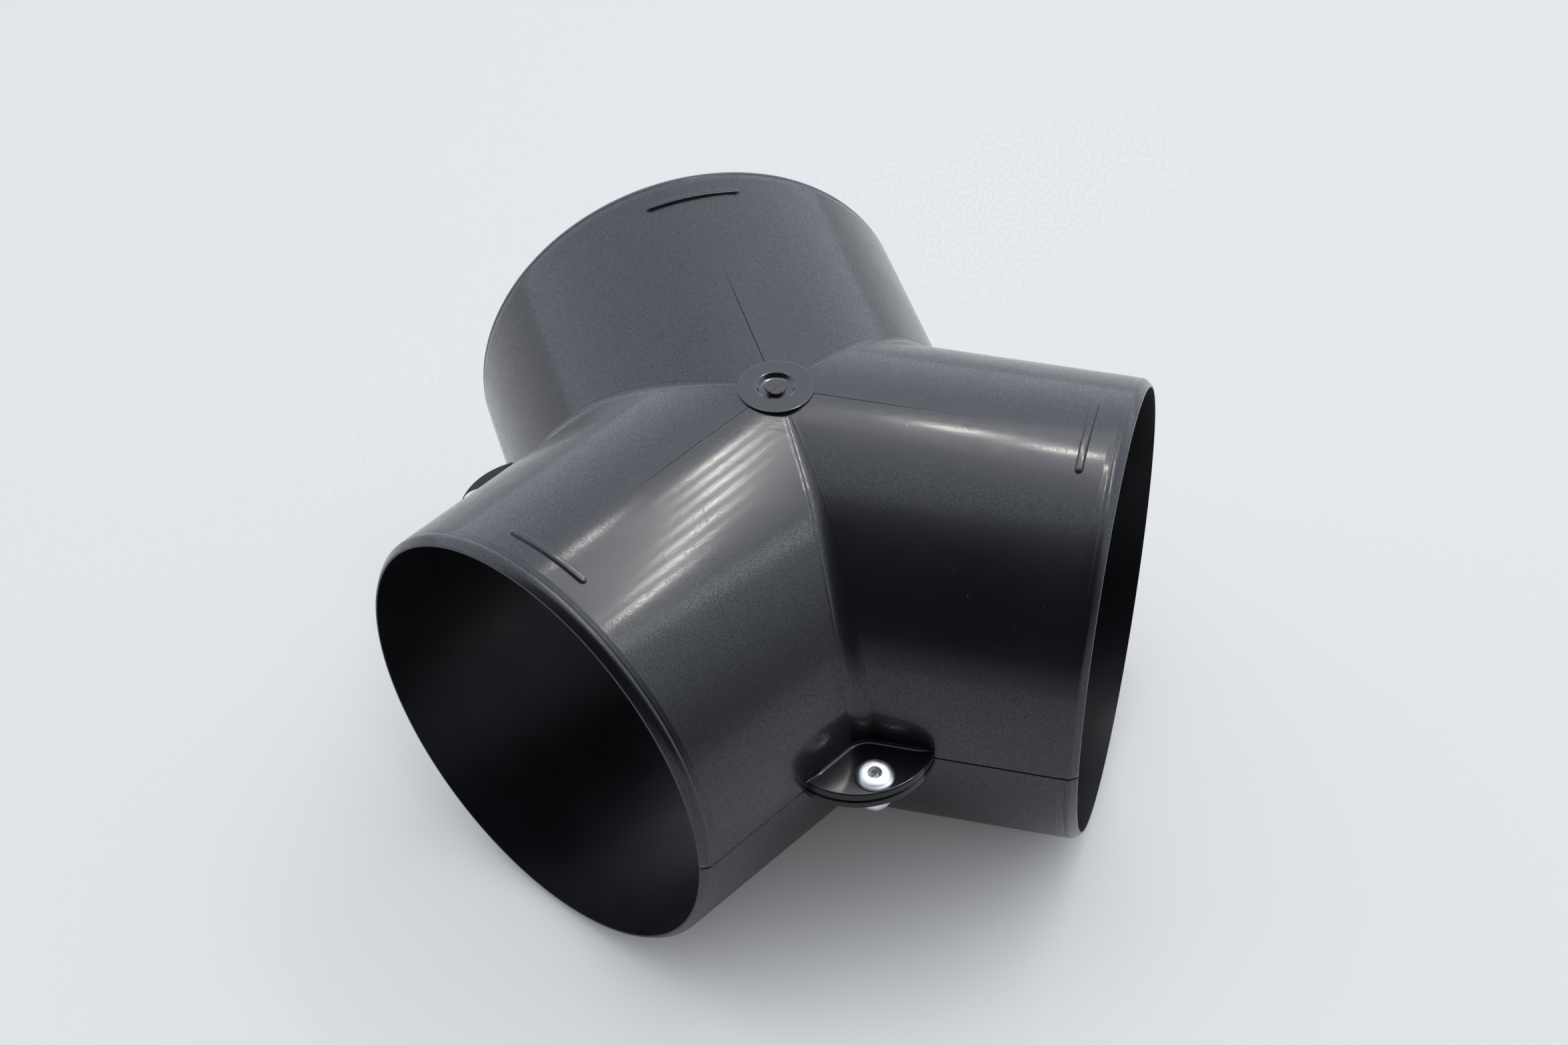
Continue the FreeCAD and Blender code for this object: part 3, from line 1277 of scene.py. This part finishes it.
@dataclass(frozen=True)
class BrightAluminium:
    """Plain bright aluminium with setting marks."""

    colour: Triple = (0.83, 0.835, 0.845)
    shade: Triple = (0.7, 0.7, 0.71)
    gloss: Triple = (900.0, 0.3, 0.42)  # per metre, low, high
    stains: Triple = (420.0, 0.0, 0.6)  # per metre, low, high
    scuffs: Triple = (260.0, 0.02, 0.5)  # per metre, width, share
    stain_height: float = 0.001
    scuff_height: float = -0.001
    scuff_rough: float = 0.08

    def material(self) -> Material:
        """Builds the material.

        Returns:
            The material.
        """
        kit = Finish("bright_aluminium")
        bench = kit.bench
        scuff = kit.shared(FineScuffs(), *self.scuffs)
        stain = kit.shared(SoftMottle(), *self.stains)
        height = bench.math("MULTIPLY", stain, self.stain_height)
        return kit.close({
            "Base Color": bench.blend(stain, self.colour, self.shade), "Metallic": 1.0,
            "Roughness": bench.math("MULTIPLY_ADD", scuff, self.scuff_rough, kit.shared(SoftMottle(), *self.gloss)),
            "Normal": kit.bump(bench.math("MULTIPLY_ADD", scuff, self.scuff_height, height)),
        })


@dataclass(frozen=True)
class BrokenSteel:
    """Dull steel with a torn grain."""

    colour: Triple = (0.6, 0.59, 0.58)
    shade: Triple = (0.36, 0.35, 0.34)
    gloss: Triple = (1600.0, 0.32, 0.55)  # per metre, low, high
    grains: Triple = (3200.0, 0.0, 1.0)  # per metre, low, high
    dust: Triple = (2600.0, 0.3, 0.4)  # per metre, size, share
    grain_shade: float = 0.6
    dust_shade: float = 0.3
    grain_height: float = 0.02

    def material(self) -> Material:
        """Builds the material.

        Returns:
            The material.
        """
        kit = Finish("broken_steel")
        bench = kit.bench
        dust = kit.shared(DustSpecks(), *self.dust)
        grain = kit.shared(SoftMottle(), *self.grains)
        shade = bench.math("MULTIPLY_ADD", dust, self.dust_shade, bench.math("MULTIPLY", grain, self.grain_shade))
        return kit.close({
            "Base Color": bench.blend(shade, self.colour, self.shade), "Metallic": 1.0,
            "Roughness": kit.shared(SoftMottle(), *self.gloss),
            "Normal": kit.bump(bench.math("MULTIPLY", grain, self.grain_height)),
        })


@dataclass(frozen=True)
class SoftBox:
    """One oblong lamp that faces the part, plain or with a row of brighter diodes behind its sheet."""

    name: str
    azimuth: float
    elevation: float
    distance: float
    width: float
    height: float
    radiance: float
    roll: float = 0.0
    columns: int = 0
    diode_gain: float = 0.0
    diode_size: float = 0.16
    tint: Triple = (0.95, 0.985, 1.04)
    diode_blur: float = 1.6

    def add_diodes(self, lamp: AreaLight) -> None:
        """Gives a lamp its row of diodes.

        Args:
            lamp: Lamp to change.
        """
        bench = NodeBench.cleared(lamp)
        place = bench.add("ShaderNodeNewGeometry").outputs["Parametric"]
        axes = bench.add("ShaderNodeSeparateXYZ", {"Vector": place}).outputs
        cell = bench.math("FRACT", bench.math("MULTIPLY", axes[0], float(self.columns)))
        across = bench.math("SUBTRACT", cell, 0.5)
        up = bench.math("MULTIPLY", bench.math("SUBTRACT", axes[1], 0.5), self.columns * self.height / self.width)
        far = bench.math("SQRT", bench.math("MULTIPLY_ADD", across, across, bench.math("MULTIPLY", up, up)))
        edge = (self.diode_size, self.diode_blur * self.diode_size)
        gain = bench.spread(far, edge, (1.0 + self.diode_gain, 1.0))
        glow = bench.add("ShaderNodeEmission", {"Strength": gain})
        bench.add("ShaderNodeOutputLight", {"Surface": glow.outputs[0]})

    def place(self) -> None:
        """Adds the lamp, turned to the middle of the part."""
        lamp = bpy.data.lights.new(self.name, "AREA")
        lamp.shape = "RECTANGLE"
        lamp.color = self.tint
        lamp.size = self.width
        lamp.size_y = self.height
        lamp.energy = self.radiance * math.pi * self.width * self.height
        if self.columns:
            self.add_diodes(lamp)
        item = add_object(self.name, lamp)
        turn, rise = math.radians(self.azimuth), math.radians(self.elevation)
        way = Vector((math.cos(turn) * math.cos(rise), math.sin(turn) * math.cos(rise), math.sin(rise)))
        item.location = way * self.distance
        roll = Matrix.Rotation(math.radians(self.roll), 3, "Z")
        item.rotation_euler = (way.to_track_quat("Z", "Y").to_matrix() @ roll).to_euler()
        item.visible_camera = False


@dataclass
class Studio:
    """Pale floor, soft lamps, a graded surround and the camera."""

    floor_height: float
    floor_size: float = 12.0
    floor_colour: Triple = (0.815, 0.8, 0.775)
    backdrop: Triple = (0.81, 0.83, 0.86)
    # Painted light: share of pale glow laid over the lit floor, which lifts its shadows and fades near the part.
    painted_glow: float = 0.68
    mirrored_painted_glow: float = 0.35
    contact_reach: float = 0.05
    contact_samples: int = 8
    bright_side: float = 70.0
    surround_colour: Triple = (0.9, 0.975, 1.11)
    surround_gain: float = 1.25
    surround_ends: Span = (0.03, 0.95)
    surround_levels: Table = (
        (0.1, 0.025), (0.2, 0.04), (0.25, 0.05), (0.3, 0.07), (0.35, 0.12),
        (0.4, 0.25), (0.5, 0.86), (0.6, 0.95), (0.75, 0.95),
    )
    horizon: float = 0.3
    horizon_rise: Span = (0.03, 0.3)
    camera_place: Triple = (-0.121602, -0.4437068, 0.4665979)
    camera_turn: Triple = (45.16457, 1.04485, -16.47318)
    lens: float = 76.41
    sensor_width: float = 36.0
    clip_start: float = 0.01
    lamps: tuple[SoftBox, ...] = (
        SoftBox("glow_panel", 36.0, 61.0, 0.7, 0.56, 0.34, 0.8, -19.5),
        SoftBox("diode_bar", 39.1, 64.7, 0.577, 0.385, 0.05, 1.1, -19.5, 7, 58.0, 0.14, (1.05, 1.0, 0.93)),
        SoftBox("corner_diode", 86.7, 60.35, 0.3154, 0.018, 0.018, 14.0, tint=(1.05, 1.0, 0.93)),
        SoftBox("side_strip", -16.0, 54.3, 0.7, 0.05, 0.3, 2.2),
    )

    def floor(self) -> None:
        """Lays the floor, with a painted glow of fill light that ambient occlusion fades near the part, and marks it
        as stage.
        """
        half = self.floor_size / 2
        corners = [(-half, -half), (half, -half), (half, half), (-half, half)]
        mesh = bpy.data.meshes.new("floor")
        mesh.from_pydata([(x, y, self.floor_height) for x, y in corners], [], [(0, 1, 2, 3)])
        paper = bpy.data.materials.new("floor_paper")
        bench = NodeBench.cleared(paper)
        lit = bench.add("ShaderNodeBsdfDiffuse", {"Color": (*self.floor_colour, 1.0)})
        pale = bench.add("ShaderNodeEmission", {"Color": (*self.backdrop, 1.0), "Strength": 1.0})
        path = bench.add("ShaderNodeLightPath").outputs
        mirrored = bench.math("MAXIMUM", path["Is Glossy Ray"], path["Is Transmission Ray"])
        seen = bench.math("MAXIMUM", path["Is Camera Ray"], bench.math("MULTIPLY", mirrored, self.mirrored_painted_glow))
        # Painted light: the pale glow stands in for fill light, and ambient occlusion takes it away near the part so
        # that the lit floor's own contact shadow shows there.
        clear = bench.add(
            "ShaderNodeAmbientOcclusion", {"Distance": self.contact_reach}, samples=self.contact_samples
        ).outputs["AO"]
        share = bench.math("MULTIPLY", bench.math("MULTIPLY", seen, self.painted_glow), clear)
        mixed = bench.add("ShaderNodeMixShader", {
            "Fac": share, "Shader": lit.outputs[0], "Shader_001": pale.outputs[0],
        })
        bench.add("ShaderNodeOutputMaterial", {"Surface": mixed.outputs[0]})
        mesh.materials.append(paper)
        floor = add_object("floor", mesh)
        floor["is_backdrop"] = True

    def surround(self) -> None:
        """Makes the world: brighter behind and above the part, dim on the camera's side."""
        world = bpy.data.worlds.new("surround")
        bpy.context.scene.world = world
        bench = NodeBench.cleared(world)
        way = bench.add("ShaderNodeTexCoord").outputs["Generated"]
        turn = math.radians(self.bright_side)
        facing = bench.add("ShaderNodeVectorMath", {
            "Vector": way, "Vector_001": (math.cos(turn), math.sin(turn), 0.0),
        }, operation="DOT_PRODUCT").outputs["Value"]
        rise = bench.add("ShaderNodeSeparateXYZ", {"Vector": way}).outputs[2]
        side = bench.add("ShaderNodeFloatCurve", {"Value": bench.math("MULTIPLY_ADD", facing, 0.5, 0.5)})
        points = side.mapping.curves[0].points
        for at, level in enumerate(self.surround_ends):
            points[at].location = (at, level)
        for at, level in self.surround_levels:
            points.new(at, level)
        side.mapping.update()
        low = bench.spread(rise, self.horizon_rise, (self.horizon, 0.0))
        level = bench.math("MULTIPLY", bench.math("MAXIMUM", side.outputs[0], low), self.surround_gain)
        light = bench.add("ShaderNodeBackground", {"Color": (*self.surround_colour, 1.0), "Strength": level})
        bench.add("ShaderNodeOutputWorld", {"Surface": light.outputs[0]})

    def camera(self) -> None:
        """Sets the camera at the photograph's place and angle."""
        lens = bpy.data.cameras.new("camera")
        lens.sensor_width = self.sensor_width
        lens.lens = self.lens
        lens.clip_start = self.clip_start
        item = add_object("camera", lens)
        item.location = self.camera_place
        item.rotation_euler = [math.radians(angle) for angle in self.camera_turn]
        bpy.context.scene.camera = item

    def set_up(self) -> None:
        """Builds the whole stage."""
        self.floor()
        self.surround()
        for lamp in self.lamps:
            lamp.place()
        self.camera()
        bpy.context.scene.view_settings.view_transform = "Standard"
        LOG.info("studio: floor at %.2f mm, %d lamps", self.floor_height / MM, len(self.lamps))


def main() -> None:
    """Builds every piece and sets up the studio."""
    logging.basicConfig(level=logging.INFO, format="%(message)s")
    cad_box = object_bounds()
    plastic = ShellPlastic().material()
    for side in Side:
        HalfShell(side).dress(plastic)
    BlindRivets().dress(BrightAluminium().material(), BrokenSteel().material())
    Studio(floor_height=cad_box[0][2]).set_up()
    bpy.context.view_layer.update()


if __name__ == "__main__":
    main()
